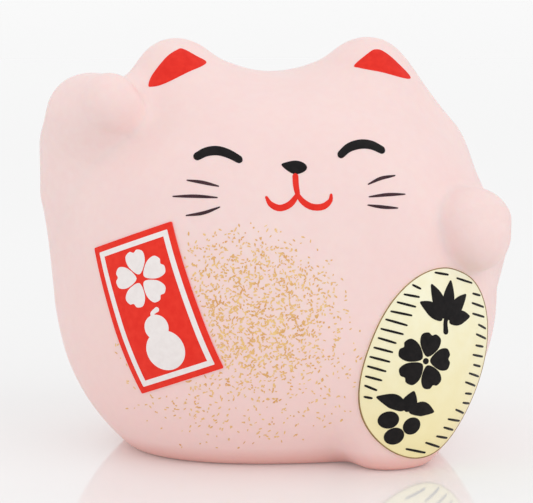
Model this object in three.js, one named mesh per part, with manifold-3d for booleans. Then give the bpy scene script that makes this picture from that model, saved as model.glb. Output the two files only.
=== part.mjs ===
// A round ceramic beckoning cat that is a coin bank: a hollow body pressed in two halves, luted arms and
// tail, a slab base with a rubber stopper, painted features and two stickers.
// Millimetres, +Z up, the cat faces -Y, and its own right side is at -X.
import * as THREE from "three";
import { mergeVertices } from "three/addons/utils/BufferGeometryUtils.js";
import Module from "manifold-3d";

const wasm = await Module();
wasm.setup();

// ---- driving dimensions -------------------------------------------------------------------------------

const GAP = 0.3; // clearance between neighbours
const WALL = 4.5; // thickness of the ceramic
const FILM = { start: 0.3, end: 0.75 }; // paint and stickers lie between these heights above the skin

const BODY = {
  halfWidth: 56,
  halfDepth: 47,
  middleHeight: 38,
  topReach: 54.8,
  bottomReach: 51.5,
  planSquareness: 2.32,
  topSquareness: 2.6,
  bottomSquareness: 2,
};
const BODY_CENTRE = new THREE.Vector3(0, 0, 45);

// Each ear is two tapering ridges that meet at its tip; these are the left one's
const EAR = {
  inner: { x: 13.1, y: 0, z: 74.1, radius: 10.2, blend: 20 },
  outer: { x: 36.8, y: -1, z: 74.3, radius: 10.2, blend: 6.3 },
  tip: { x: 24.5, y: -3, z: 93.7, radius: 7.3 },
  drift: -1.3, // both tips stand a little to one side of the body's middle
};

const LOBE = { centre: [30.5, -31, 24], radii: [17.3, 13, 28.5], facing: 33, lean: 19, blend: 9 };

// Arms and tail run from ball to ball, and the last is blended in. The centre sees all of a limb's skin.
const RAISED_ARM = {
  joints: [
    { x: -41.5, y: -3, z: 42, radius: 10.4 },
    { x: -48.3, y: -5, z: 66, radius: 11.4 },
    { x: -48.5, y: -7, z: 77, radius: 11.3 },
    { x: -47.2, y: -12, z: 84.3, radius: 9.7 },
    { x: -42.8, y: -22.5, z: 88.6, radius: 7.2 },
  ],
  blend: 5,
  centre: new THREE.Vector3(-46.5, -10, 76),
};

const LOWERED_ARM = {
  joints: [
    { x: 47.2, y: -3, z: 47, radius: 10.8 },
    { x: 48, y: -13, z: 54.5, radius: 10 },
    { x: 45.1, y: -31.5, z: 58, radius: 8.8 },
    { x: 46, y: -33.8, z: 55.2, radius: 6.8 },
  ],
  blend: 5,
  centre: new THREE.Vector3(46.5, -20, 56),
};

const TAIL = {
  joints: [
    { x: 0, y: 37, z: 16, radius: 10 },
    { x: 1, y: 40.5, z: 21, radius: 9.5 },
    { x: 3, y: 43, z: 27.5, radius: 8 },
  ],
  blend: 5,
  centre: new THREE.Vector3(1.5, 40, 22),
};

const FLOOR_TOP = 8; // the chamber's floor, and the top of the base slab
const BASE = { radius: 28, bottom: 3.2, holeRadius: 16.3 };
const STOPPER = {
  flangeRadius: 19.5,
  flangeBottom: 0.7,
  flangeEdge: 0.5,
  plugRadius: 15.9,
  plugTop: 12,
  plugLead: 1,
  cupRadius: 12.5,
  cupFloor: 1,
};

const COIN_SLOT = { width: 34, height: 5, z: 74, innerY: 15 };

// Stickers and paint: where the patch's middle is, which way it faces, and how its top leans
const KOBAN = {
  length: 46.9,
  width: 35.6,
  cornerPower: 2.1,
  x: 35.1,
  y: -42,
  z: 26.3,
  facing: 29,
  lean: 18,
};
const PLAQUE = { length: 36.9, width: 22.8, x: -34.2, y: -41, z: 40.3, facing: -30, lean: -20 };
const FACE = { x: 0, y: -34, z: 0 };
const CUT_REACH = 30; // outlines are driven this far in and out of their patch's middle

const EYE = { halfWidth: 1.05, endWidth: 0.84 };
const MOUTH = { halfWidth: 0.72, endWidth: 0.5 };
const WHISKER = { halfWidth: 0.4, endWidth: 0.14 };

const FAR = 200; // beyond every surface of the cat
const OVERCUT = 1; // how far a cutter runs past the faces that it cuts
const WELD = 1e-4;
const SEARCH_STEPS = 26;

// Columns and rows of the balls that skins are made from
const BODY_GRID = [60, 40];
const CHAMBER_GRID = [32, 20];
const LIMB_GRID = [32, 20];

// ---- materials ----------------------------------------------------------------------------------------

function surface(color, roughness, metalness = 0) {
  return new THREE.MeshStandardMaterial({ color, roughness, metalness });
}

const CERAMIC = surface(0xf0d6d3, 0.55);
const UNGLAZED = surface(0xe9ded6, 0.8);
const RUBBER = surface(0xd9d6cf, 0.7);
const RED_PAINT = surface(0xe04436, 0.5);
const BLACK_PAINT = surface(0x1d1b1e, 0.45);
const BROWN_PAINT = surface(0x4a3438, 0.5);
const GOLD_FOIL = surface(0xf3e8b8, 0.35, 0.6);
const STICKER_RED = surface(0xe23b2e, 0.4);

// ---- the shape as a field: negative inside, positive outside, zero on the skin ------------------------

function smoothMin(first, second, blend) {
  const overlap = Math.max(blend - Math.abs(first - second), 0);
  return Math.min(first, second) - (overlap * overlap) / (4 * blend);
}

function superBody(point) {
  const up = point.z - BODY.middleHeight;
  const reach = up > 0 ? BODY.topReach : BODY.bottomReach;
  const squareness = up > 0 ? BODY.topSquareness : BODY.bottomSquareness;
  const across = Math.abs(point.x / BODY.halfWidth) ** BODY.planSquareness;
  const deep = Math.abs(point.y / BODY.halfDepth) ** BODY.planSquareness;
  const plan = (across + deep) ** (1 / BODY.planSquareness);
  const size = (plan ** squareness + Math.abs(up / reach) ** squareness) ** (1 / squareness);
  return Math.hypot(point.x, point.y, up) * (1 - 1 / size);
}

// A cone with ball ends, from one { x, y, z, radius } to another
function roundCone(point, start, end) {
  const axis = new THREE.Vector3().subVectors(end, start);
  const offset = new THREE.Vector3().subVectors(point, start);
  const along = THREE.MathUtils.clamp(offset.dot(axis) / axis.lengthSq(), 0, 1);
  const radius = THREE.MathUtils.lerp(start.radius, end.radius, along);
  return offset.addScaledVector(axis, -along).length() - radius;
}

function limb(point, { joints, blend }) {
  let straight = Infinity;
  for (let i = 1; i < joints.length - 1; i += 1) {
    straight = Math.min(straight, roundCone(point, joints[i - 1], joints[i]));
  }
  return smoothMin(straight, roundCone(point, joints.at(-2), joints.at(-1)), blend);
}

// Local axes of a patch of skin: x to its right, y up along it, z out of it. Facing turns it from the
// front towards +X, and lean rolls its top towards its own right.
function patchAxes(facing, lean) {
  const turn = THREE.MathUtils.degToRad(facing);
  const roll = THREE.MathUtils.degToRad(lean);
  const upright = new THREE.Matrix4().makeRotationX(Math.PI / 2);
  const rolled = new THREE.Matrix4().makeRotationZ(-roll);
  return new THREE.Matrix4().makeRotationZ(turn).multiply(upright).multiply(rolled);
}

const LOBE_CENTRE = new THREE.Vector3(...LOBE.centre);
const LOBE_INVERSE = patchAxes(LOBE.facing, LOBE.lean).invert();

function lobe(point) {
  const local = new THREE.Vector3().subVectors(point, LOBE_CENTRE).applyMatrix4(LOBE_INVERSE);
  const [across, deep, tall] = LOBE.radii;
  const size = Math.hypot(local.x / across, local.y / tall, local.z / deep);
  return local.length() * (1 - 1 / size);
}

function mirrored(end, side) {
  return { ...end, x: end.x * side };
}

function bodyField(point) {
  let distance = superBody(point);
  for (const side of [-1, 1]) {
    const tip = mirrored(EAR.tip, side);
    tip.x += EAR.drift;
    distance = smoothMin(distance, roundCone(point, mirrored(EAR.inner, side), tip), EAR.inner.blend);
    distance = smoothMin(distance, roundCone(point, mirrored(EAR.outer, side), tip), EAR.outer.blend);
  }
  return smoothMin(distance, lobe(point), LOBE.blend);
}

// ---- solids -------------------------------------------------------------------------------------------

function toManifold(geometry) {
  const bare = geometry.clone();
  bare.deleteAttribute("normal");
  bare.deleteAttribute("uv");
  const merged = mergeVertices(bare, WELD);
  const solid = new wasm.Manifold(new wasm.Mesh({
    numProp: 3,
    vertProperties: Float32Array.from(merged.attributes.position.array),
    triVerts: Uint32Array.from(merged.index.array),
  }));
  if (solid.status() !== "NoError") throw new Error(`Not a closed solid: ${solid.status()}`);
  return solid;
}

function toGeometry(solid) {
  const mesh = solid.getMesh();
  const geometry = new THREE.BufferGeometry();
  geometry.setAttribute("position", new THREE.BufferAttribute(mesh.vertProperties, 3));
  geometry.setIndex(new THREE.BufferAttribute(mesh.triVerts, 1));
  const flat = geometry.toNonIndexed();
  flat.computeVertexNormals();
  return flat;
}

// Pushes the points of a ball around a centre out to where the field has the given height
function skinSolid(field, centre, height, columns, rows) {
  const ball = new THREE.SphereGeometry(1, columns, rows).rotateX(Math.PI / 2);
  const position = ball.attributes.position;
  const direction = new THREE.Vector3();
  const probe = new THREE.Vector3();
  for (let i = 0; i < position.count; i += 1) {
    direction.fromBufferAttribute(position, i).normalize();
    let near = 0;
    let far = FAR;
    for (let step = 0; step < SEARCH_STEPS; step += 1) {
      const middle = (near + far) / 2;
      probe.copy(centre).addScaledVector(direction, middle);
      if (field(probe) < height) near = middle;
      else far = middle;
    }
    probe.copy(centre).addScaledVector(direction, near);
    position.setXYZ(i, probe.x, probe.y, probe.z);
  }
  return toManifold(ball);
}

function block(low, high) {
  const size = high.map((value, i) => value - low[i]);
  const middle = high.map((value, i) => (value + low[i]) / 2);
  return toManifold(new THREE.BoxGeometry(...size).translate(...middle));
}

function disc(radius, bottom, top) {
  const geometry = new THREE.CylinderGeometry(radius, radius, top - bottom, 48);
  return toManifold(geometry.rotateX(Math.PI / 2).translate(0, 0, (bottom + top) / 2));
}

const aboveTable = block([-FAR, -FAR, 0], [FAR, FAR, FAR]);
const outside = skinSolid(bodyField, BODY_CENTRE, 0, ...BODY_GRID);
const clearance = skinSolid(bodyField, BODY_CENTRE, GAP, ...BODY_GRID);
const filmInside = skinSolid(bodyField, BODY_CENTRE, FILM.start, ...BODY_GRID);
const filmOutside = skinSolid(bodyField, BODY_CENTRE, FILM.end, ...BODY_GRID);

function hollowBody() {
  const aboveFloor = block([-FAR, -FAR, FLOOR_TOP], [FAR, FAR, FAR]);
  const chamber = skinSolid(bodyField, BODY_CENTRE, -WALL, ...CHAMBER_GRID).intersect(aboveFloor);
  const halfWidth = COIN_SLOT.width / 2;
  const halfHeight = COIN_SLOT.height / 2;
  const slot = block(
    [-halfWidth, COIN_SLOT.innerY, COIN_SLOT.z - halfHeight],
    [halfWidth, FAR, COIN_SLOT.z + halfHeight],
  );
  const baseSeat = disc(BASE.radius, -OVERCUT, FLOOR_TOP + OVERCUT);
  return outside.intersect(aboveTable).subtract(chamber).subtract(slot).subtract(baseSeat);
}

function baseSlab() {
  const hole = disc(BASE.holeRadius, BASE.bottom - OVERCUT, FLOOR_TOP + OVERCUT);
  return disc(BASE.radius - GAP, BASE.bottom, FLOOR_TOP).subtract(hole);
}

// A soft bung: a flange under the slab, and a hollow plug up through its hole
function stopperGeometry() {
  const { flangeRadius, flangeBottom, flangeEdge, plugRadius, plugTop, plugLead, cupRadius } = STOPPER;
  const flangeTop = BASE.bottom - GAP;
  const cupFloor = flangeTop + STOPPER.cupFloor;
  const profile = [
    [0, flangeBottom],
    [flangeRadius - flangeEdge, flangeBottom],
    [flangeRadius, flangeBottom + flangeEdge],
    [flangeRadius, flangeTop],
    [plugRadius, flangeTop],
    [plugRadius, plugTop - plugLead],
    [plugRadius - plugLead, plugTop],
    [cupRadius, plugTop],
    [cupRadius, cupFloor],
    [0, cupFloor],
  ];
  const points = profile.map(([radius, z]) => new THREE.Vector2(radius, z));
  return toGeometry(toManifold(new THREE.LatheGeometry(points, 40).rotateX(Math.PI / 2)));
}

// ---- outlines of paint and stickers -------------------------------------------------------------------

// The outline of a brush stroke along a spline: full width in the middle, narrower at both round ends
function brushStroke(points, { halfWidth, endWidth }, steps = 14) {
  const spine = new THREE.SplineCurve(points.map(([x, y]) => new THREE.Vector2(x, y)));
  const left = [];
  const right = [];
  for (let i = 0; i <= steps; i += 1) {
    const along = i / steps;
    const place = spine.getPoint(along);
    const tangent = spine.getTangent(along);
    const half = endWidth + (halfWidth - endWidth) * Math.sin(Math.PI * along);
    const normal = new THREE.Vector2(-tangent.y, tangent.x).multiplyScalar(half);
    left.push(place.clone().add(normal));
    right.unshift(place.clone().sub(normal));
  }
  const startTip = spine.getPoint(0).addScaledVector(spine.getTangent(0), -endWidth);
  const endTip = spine.getPoint(1).addScaledVector(spine.getTangent(1), endWidth);
  return new THREE.Shape([startTip, ...left, endTip, ...right]);
}

// A closed outline that runs through its points, with corners softened by the spline
function closedSpline(points, divisions = 24) {
  const loop = points.map(([x, y]) => new THREE.Vector3(x, y, 0));
  const curve = new THREE.CatmullRomCurve3(loop, true, "catmullrom", 0.35);
  const outline = curve.getPoints(divisions).slice(0, -1);
  return new THREE.Shape(outline.map(({ x, y }) => new THREE.Vector2(x, y)));
}

function ovalOutline({ length, width, cornerPower }, count = 40) {
  const points = [];
  for (let i = 0; i < count; i += 1) {
    const angle = (2 * Math.PI * i) / count;
    const x = Math.abs(Math.cos(angle)) ** (2 / cornerPower) * Math.sign(Math.cos(angle));
    const y = Math.abs(Math.sin(angle)) ** (2 / cornerPower) * Math.sign(Math.sin(angle));
    points.push(new THREE.Vector2((x * width) / 2, (y * length) / 2));
  }
  return new THREE.Shape(points);
}

function rectangleOutline({ length, width }) {
  const corners = [[-1, -1], [1, -1], [1, 1], [-1, 1]];
  return new THREE.Shape(corners.map(([x, y]) => new THREE.Vector2((x * width) / 2, (y * length) / 2)));
}

// A thin skin over the body, cut by outlines driven in along the patch's own facing
function film(shapes, { x, y, z, facing = 0, lean = 0 } = FACE) {
  const turn = THREE.MathUtils.degToRad(facing);
  const start = new THREE.Vector3(x - Math.sin(turn) * CUT_REACH, y + Math.cos(turn) * CUT_REACH, z);
  const placement = patchAxes(facing, lean).setPosition(start);
  const cutters = shapes.map((shape) => {
    const geometry = new THREE.ExtrudeGeometry(shape, { depth: 2 * CUT_REACH, bevelEnabled: false });
    return toManifold(geometry.applyMatrix4(placement));
  });
  return wasm.Manifold.union(cutters).intersect(filmOutside).subtract(filmInside);
}

// ---- assembly -----------------------------------------------------------------------------------------

const figurine = new THREE.Group();

function addPiece(name, geometry, material) {
  const piece = new THREE.Mesh(geometry, material);
  piece.name = name;
  figurine.add(piece);
}

function addSolid(name, solid, material) {
  addPiece(name, toGeometry(solid), material);
}

function addBody() {
  const body = hollowBody();
  const frontSpace = block([-FAR, -FAR, -FAR], [FAR, -GAP / 2, FAR]);
  const backSpace = block([-FAR, GAP / 2, -FAR], [FAR, FAR, FAR]);
  addSolid("front_shell", body.intersect(frontSpace), CERAMIC);
  addSolid("back_shell", body.intersect(backSpace), CERAMIC);
  addSolid("base_disc", baseSlab(), UNGLAZED);
  addPiece("stopper", stopperGeometry(), RUBBER);
}

function addLimbs() {
  const limbs = { raised_arm: RAISED_ARM, lowered_arm: LOWERED_ARM, tail: TAIL };
  for (const [name, shape] of Object.entries(limbs)) {
    const whole = skinSolid((point) => limb(point, shape), shape.centre, 0, ...LIMB_GRID);
    addSolid(name, whole.subtract(clearance), CERAMIC);
  }
}

function addFace() {
  const eyes = {
    eye_right: [[-22.3, 76.5], [-20, 77.6], [-17.3, 77.9], [-14.7, 77.2], [-12.4, 76]],
    eye_left: [[12.1, 76.9], [14.2, 78.4], [17.1, 79.1], [19.9, 78.8], [22.4, 77.6]],
  };
  for (const [name, points] of Object.entries(eyes)) {
    addSolid(name, film([brushStroke(points, EYE)]), BLACK_PAINT);
  }
  const noseOutline = [
    [-2.4, 74.8], [-1, 75.4], [1.1, 75.7], [2.9, 75.2],
    [3.7, 74.2], [3, 73.2], [0.9, 72.6], [-1, 73.4],
  ];
  addSolid("nose", film([closedSpline(noseOutline)]), BLACK_PAINT);
  const mouthStrokes = [
    [[0.8, 71.6], [0.9, 69.6], [1.2, 67.9]],
    [[1.2, 68], [-0.7, 65.8], [-3.2, 64.9], [-5.3, 65.8], [-6.3, 67.4]],
    [[1.1, 68], [2.4, 66.3], [4.5, 65.1], [7.1, 65.1], [8.9, 66.4], [9.2, 67.8]],
  ];
  addSolid("mouth", film(mouthStrokes.map((points) => brushStroke(points, MOUTH))), RED_PAINT);
}

function addWhiskers() {
  const whiskers = {
    whisker_right_1: [[-24.8, 71.1], [-21.3, 70.7], [-17.5, 69.9]],
    whisker_right_2: [[-28.2, 67.3], [-23, 67.5], [-17.9, 67.3]],
    whisker_right_3: [[-25.2, 63], [-21.2, 63.7], [-17.4, 65.1]],
    whisker_left_1: [[18.4, 70], [21.6, 71.2], [25.2, 71.7]],
    whisker_left_2: [[18.5, 67.1], [23, 67.4], [27.5, 67.3]],
    whisker_left_3: [[18.1, 65.2], [21.8, 64.6], [25.5, 64.2]],
  };
  for (const [name, points] of Object.entries(whiskers)) {
    addSolid(name, film([brushStroke(points, WHISKER, 8)]), BROWN_PAINT);
  }
}

function addEarPaint() {
  const right = [
    [-32.9, 92.2], [-31.8, 94.7], [-28.4, 98.8], [-25.6, 100.6], [-24, 100.8], [-20.6, 99],
    [-18.5, 97.8], [-19.1, 96.9], [-23.2, 95.3], [-29.2, 92.5], [-32.1, 91.8],
  ];
  const left = [
    [18.3, 96.8], [22.4, 99.9], [24.2, 100.5], [26.1, 99.9],
    [29.2, 97.4], [32.7, 93.2], [24.8, 95.1], [19.6, 96.1],
  ];
  addSolid("ear_paint_right", film([closedSpline(right, 32)]), RED_PAINT);
  addSolid("ear_paint_left", film([closedSpline(left, 32)]), RED_PAINT);
}

function addStickers() {
  addSolid("koban_foil", film([ovalOutline(KOBAN)], KOBAN), GOLD_FOIL);
  addSolid("fortune_plaque", film([rectangleOutline(PLAQUE)], PLAQUE), STICKER_RED);
}

addBody();
addLimbs();
addFace();
addWhiskers();
addEarPaint();
addStickers();

// The origin is on the table, under the middle of the whole object
const bounds = new THREE.Box3().setFromObject(figurine);
const middle = bounds.getCenter(new THREE.Vector3());
figurine.position.set(-middle.x, -middle.y, -bounds.min.z);

export default figurine;
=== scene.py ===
import math

import bpy
import numpy as np
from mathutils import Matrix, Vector


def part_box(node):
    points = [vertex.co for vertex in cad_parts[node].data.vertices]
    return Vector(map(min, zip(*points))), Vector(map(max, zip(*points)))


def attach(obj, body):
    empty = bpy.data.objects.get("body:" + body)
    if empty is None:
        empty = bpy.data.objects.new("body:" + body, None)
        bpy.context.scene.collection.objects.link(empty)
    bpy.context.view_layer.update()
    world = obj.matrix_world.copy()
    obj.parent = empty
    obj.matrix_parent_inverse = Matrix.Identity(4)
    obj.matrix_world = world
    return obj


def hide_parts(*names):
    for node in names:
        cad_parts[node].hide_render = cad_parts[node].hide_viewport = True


# A round ceramic beckoning cat, a coin bank, on a pale studio floor. Metres, +Z up, the cat faces -Y.
# The glazed skin is one implicit surface. It is meshed once, scored along the joints of the real pieces,
# and every piece of it is given the thickness of its ceramic wall. Paint, print, stickers and gold dust
# are thin meshes laid on that same surface.

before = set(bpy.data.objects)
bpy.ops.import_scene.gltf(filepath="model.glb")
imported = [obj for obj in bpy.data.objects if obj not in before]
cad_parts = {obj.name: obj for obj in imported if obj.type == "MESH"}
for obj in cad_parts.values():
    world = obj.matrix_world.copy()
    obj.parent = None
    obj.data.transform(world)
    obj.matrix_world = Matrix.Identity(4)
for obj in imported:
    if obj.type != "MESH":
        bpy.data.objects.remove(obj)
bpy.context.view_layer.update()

# ---- sizes taken from the frame ----

JOINT_GAP = 0.0003  # between the base slab and the hole it closes, and between slab and stopper


def box_of(node):
    low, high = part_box(node)
    return np.array(low), np.array(high)


STOPPER_LOW, STOPPER_HIGH = box_of("stopper")
BASE_LOW, BASE_HIGH = box_of("base_disc")
BACK_LOW, BACK_HIGH = box_of("back_shell")

AXIS = np.append((STOPPER_LOW + STOPPER_HIGH)[:2] / 2, 0)  # where the body's upright axis meets the table
HALF_WIDTH = (BACK_HIGH - BACK_LOW)[0] / 2
HALF_DEPTH = BACK_HIGH[1] - AXIS[1]
BASE_HOLE = (BASE_HIGH - BASE_LOW)[0] / 2 + JOINT_GAP
STOPPER_RADIUS = (STOPPER_HIGH - STOPPER_LOW)[0] / 2

# ---- the sculpted form, in metres from the foot of the body's axis ----

MIDDLE_HEIGHT = 0.038
TOP_REACH = 0.0548
BOTTOM_REACH = 0.0515
PLAN_SQUARENESS = 2.32
TOP_SQUARENESS = 2.6
BOTTOM_SQUARENESS = 2.0
FOOT_ROUNDING = 0.0012

# Ears, arms and tail run from ball to ball, as (x, y, z, radius). These are the left ear's, and the right
# one is its mirror image.
EAR_ROOTS = np.array([(0.0131, 0, 0.0741, 0.0102), (0.0368, -0.001, 0.0743, 0.0102)])
EAR_TIP = np.array((0.0245, -0.003, 0.0937, 0.0073))
EAR_DRIFT = np.array((-0.0013, 0, 0, 0))  # both tips stand a little to one side of the body's middle
EAR_BLENDS = (0.020, 0.0063)  # how softly each of an ear's two ridges runs into the head
RAISED_ARM = (
    (-0.0415, -0.003, 0.042, 0.0104),
    (-0.0483, -0.005, 0.066, 0.0114),
    (-0.0485, -0.007, 0.077, 0.0113),
    (-0.0472, -0.012, 0.0843, 0.0097),
    (-0.0428, -0.0225, 0.0886, 0.0072),
)
LOWERED_ARM = (
    (0.0472, -0.003, 0.047, 0.0108),
    (0.0480, -0.013, 0.0545, 0.010),
    (0.0451, -0.0315, 0.058, 0.0088),
    (0.0460, -0.0338, 0.0552, 0.0068),
)
TAIL = (
    (0, 0.037, 0.016, 0.010),
    (0.001, 0.0405, 0.021, 0.0095),
    (0.003, 0.043, 0.0275, 0.008),
)
LOBE_CENTRE = (0.0305, -0.031, 0.024)
LOBE_RADII = (0.0173, 0.013, 0.0285)
LOBE_FACING = 33
LOBE_LEAN = 19
LIMBS = {"raised_arm": RAISED_ARM, "lowered_arm": LOWERED_ARM, "tail": TAIL}
LOBE_BLEND = 0.009
ROOT_BLEND = {"raised_arm": 0.009, "lowered_arm": 0.003, "tail": 0.0025}  # where a limb meets the body
LIMB_BLEND = 0.005

CERAMIC_WALL = 0.0045
ARM_WALL = 0.0025
FOOT_WALL = 0.008
GRID = 0.0009  # the mesh's spacing
MESH_MARGINS = (0.008, 0.006)  # how far the meshed space runs past the body, sideways and to front and back
MESH_HEIGHTS = (-0.002, 0.107)

SLOT_WIDTH = 0.034
SLOT_HEIGHT = 0.005
SLOT_CENTRE_Z = 0.074
LIP_ROUNDING = 0.0012
LIP_LINES = (0, 0.3, 0.65)  # where its curve is scored, as shares of it

# ---- paint and stickers ----

# A patch is a place on the skin: a point near it, the way it faces, and the roll of its top to its right
FACE_PATCH = {"at": (0, -0.042, 0), "facing": 0, "lean": 0}
KOBAN_PATCH = {"at": (0.0351, -0.042, 0.0263), "facing": 29, "lean": 18}
PLAQUE_PATCH = {"at": (-0.0342, -0.041, 0.0403), "facing": -30, "lean": -20}
KOBAN_LENGTH = 0.0469
KOBAN_WIDTH = 0.0356
KOBAN_POWER = 2.1  # a little squarer than an ellipse, which has 2
KOBAN_RIM = 0.00025
PLAQUE_LENGTH = 0.0369
PLAQUE_WIDTH = 0.0228
PLAQUE_CORNER = 0.0003
PLAQUE_BORDER = 0.0015
PLAQUE_LINE = 0.0013
PLAQUE_LINE_CORNER = 0.0002

PAINT_HEIGHT = 0.00012
STICKER_HEIGHT = 0.00035
INK_HEIGHT = 0.0001
INK_DOME = 0.3  # how much lower ink is at its edges, as a share of its height
SINK = 0.0001  # how far a thin piece reaches into what it lies on

# Printed marks
KOBAN_COLUMN = (-0.0052, -0.0046, -0.0016)  # the marks' places off its middle, from the lowest mark up
MARK_HALF_WIDTH = 0.0074
MARK_PITCH = 0.0142
MARKS_REACH = 0.0205  # up and down from the middle, with room for the dashes past it
KOBAN_PETAL = (0.0068, 0.0029)  # how far a petal reaches, and its half width
BLOSSOM_HEART = 0.0015
PLAQUE_PETAL = (0.0069, 0.0028)
PLAQUE_BLOSSOM_HEIGHT = 0.0078  # above the plaque's middle

# The token's dashes
HATCH_ROWS = 19
HATCH_REACH = 0.455  # up and down from the middle, as a share of the token's length
HATCH_MARGIN = 0.001  # from the token's edge
HATCH_LENGTHS = (0.0036, 0.0062)
HATCH_LEAST = 0.0012  # no dash is shorter
HATCH_STAGGER = 0.0018  # how far inwards a dash may be moved
HATCH_TILT = 0.0002
HATCH_CLEARANCE = 0.0006  # from the marks
HATCH_MEETING = 0.0005  # from the column's middle, where there is no mark
HATCH_BRUSH = (0.00029, 0.00022)

# Half widths of a painted stroke, in the middle and at its ends
EYE_BRUSH = (0.00105, 0.00084)
WHISKER_BRUSH = (0.0004, 0.00014)

# Painted features, in millimetres: to the cat's left of its middle, and up from the table
EYES = {
    "eye_right": [(-22.3, 76.5), (-20, 77.6), (-17.3, 77.9), (-14.7, 77.2), (-12.4, 76)],
    "eye_left": [(12.1, 76.9), (14.2, 78.4), (17.1, 79.1), (19.9, 78.8), (22.4, 77.6)],
}
NOSE = [
    (-2.4, 74.8), (-1, 75.4), (1.1, 75.7), (2.9, 75.2),
    (3.7, 74.2), (3, 73.2), (0.9, 72.6), (-1, 73.4),
]
MOUTH = [
    [(1.2, 68), (-0.7, 65.8), (-3.2, 64.9), (-5.3, 65.8), (-6.3, 67.4)],
    [(1.1, 68), (2.4, 66.3), (4.5, 65.1), (7.1, 65.1), (8.9, 66.4), (9.2, 67.8)],
]
LIP = [(0.8, 72.1), (0.85, 70), (1.2, 67.9)]
MOUTH_WIDTHS = [0.45, 0.72, 0.76, 0.7, 0.3]  # half widths along each half of the mouth, outwards
LIP_WIDTHS = [0.72, 0.72, 0.68, 0.5]
WHISKERS = {
    "whisker_right_1": [(-24.8, 71.1), (-21.3, 70.7), (-17.5, 69.9)],
    "whisker_right_2": [(-28.2, 67.3), (-23, 67.5), (-17.9, 67.3)],
    "whisker_right_3": [(-25.2, 63), (-21.2, 63.7), (-17.4, 65.1)],
    "whisker_left_1": [(18.4, 70), (21.6, 71.2), (25.2, 71.7)],
    "whisker_left_2": [(18.5, 67.1), (23, 67.4), (27.5, 67.3)],
    "whisker_left_3": [(18.1, 65.2), (21.8, 64.6), (25.5, 64.2)],
}
EAR_PAINT = {
    "ear_paint_right": [
        (-32.9, 92.2), (-31.8, 94.7), (-28.4, 98.8), (-25.6, 100.6), (-24, 100.8), (-20.6, 99),
        (-18.5, 97.8), (-19.1, 96.9), (-23.2, 95.3), (-29.2, 92.5), (-32.1, 91.8),
    ],
    "ear_paint_left": [
        (18.3, 96.8), (22.4, 99.9), (24.2, 100.5), (26.1, 99.9),
        (29.2, 97.4), (32.7, 93.2), (24.8, 95.1), (19.6, 96.1),
    ],
}

# ---- base and stopper ----

SLAB_ROUNDING = 0.0008
STOPPER_FLANGE = 0.0032  # how far the flange reaches past the hole
STOPPER_PLAY = 0.0004
STOPPER_WALL = 0.0034
STOPPER_DISH = 0.0008  # how deep the dish in its underside is
DISH_SHARE = 0.72  # of the stopper's radius
STOPPER_ROUNDING = 0.0004
GROOVE_DEPTH = 0.0008
GROOVE_HEIGHTS = (0.0035, 0.0045, 0.0055)  # the groove's start, bottom and end above the flange
PLUG_LEAD = 0.0012

# ---- gold dust ----

# Places are (to the cat's left, up), and the dust is thickest in its heart and thins out over its halo
DUST_ACROSS = (-0.05, 0.03)
DUST_UP = (0.004, 0.064)
DUST_TRIES = 60000
DUST_HEART = {"centre": (-0.0122, 0.0405), "radii": (0.0262, 0.0215), "edge": 2.2, "strength": 1}
DUST_HALO = {"centre": (-0.012, 0.028), "radii": (0.034, 0.026), "edge": 2, "strength": 0.2}
DUST_WAVES = 28
DUST_WAVELENGTHS = (0.0017, 0.0036)
DUST_LINE = 0.34  # a place is on a line where the rippled field is nearer to zero than this
DUST_CHANCE = {"on_line": 0.46, "off_line": 0.07}
DUST_HEIGHT = 0.00004
FLECK_HALF_LENGTH = (0.0002, 0.00055)
FLECK_HALF_WIDTH = (0.00014, 0.00025)
FLECK_TURN = 0.35  # how far flecks stray from their line, in radians
STICKER_CLEARANCE = 0.0006  # bare skin beside the plaque
KOBAN_KEEP_CLEAR = 0.52  # of the token's size, measured from its middle. Its edge is at 0.5

# ---- studio ----

CAMERA_AZIMUTH = -5.3
CAMERA_ELEVATION = 12
CAMERA_DISTANCE = 0.65
CAMERA_LENS = 169.7
CAMERA_TARGET = (-0.00247, 0.0482)  # to the right of, and above, where the axis meets the table
WORLD_STRENGTH = 0.86
FLOOR_RADIUS = 12.0
FLOOR_DROP = 0.00005  # keeps the floor clear of the foot's face
LIGHTS = {  # where it shines from, its spread in degrees, and its strength
    "key": ((0.8, -0.7, 0.55), 60, 0.6),
    "left": ((-0.9, -0.1, 0.3), 60, 0.4),
}

RNG = np.random.default_rng(7)

# ---- the implicit surface ----


def smooth_min(first, second, blend):
    overlap = np.maximum(blend - np.abs(first - second), 0)
    return np.minimum(first, second) - overlap**2 / (4 * blend)


def smooth_max(first, second, blend):
    return -smooth_min(-first, -second, blend)


def round_cone(points, start, end):
    start_at, end_at = np.array(start[:3]), np.array(end[:3])
    axis = end_at - start_at
    offset = points - start_at
    along = np.clip(offset @ axis / (axis @ axis), 0, 1)
    radius = start[3] + (end[3] - start[3]) * along
    return np.linalg.norm(offset - along[..., None] * axis, axis=-1) - radius


def limb(points, chain):
    """Tapering lengths from ball to ball, with the last one, a paw or a tip, blended in."""
    straight = np.full(points.shape[:-1], np.inf)
    for start, end in zip(chain[:-2], chain[1:-1]):
        straight = np.minimum(straight, round_cone(points, start, end))
    return smooth_min(straight, round_cone(points, chain[-2], chain[-1]), LIMB_BLEND)


def patch_axes(facing, lean):
    """Columns: to the right along the skin, up along it, and out of it."""
    turn, roll = math.radians(facing), math.radians(lean)
    across = np.array([math.cos(turn), math.sin(turn), 0])
    out = np.array([math.sin(turn), -math.cos(turn), 0])
    upright = np.array([0, 0, 1])
    right = across * math.cos(roll) - upright * math.sin(roll)
    up = upright * math.cos(roll) + across * math.sin(roll)
    return np.stack([right, up, out], axis=1)


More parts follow.
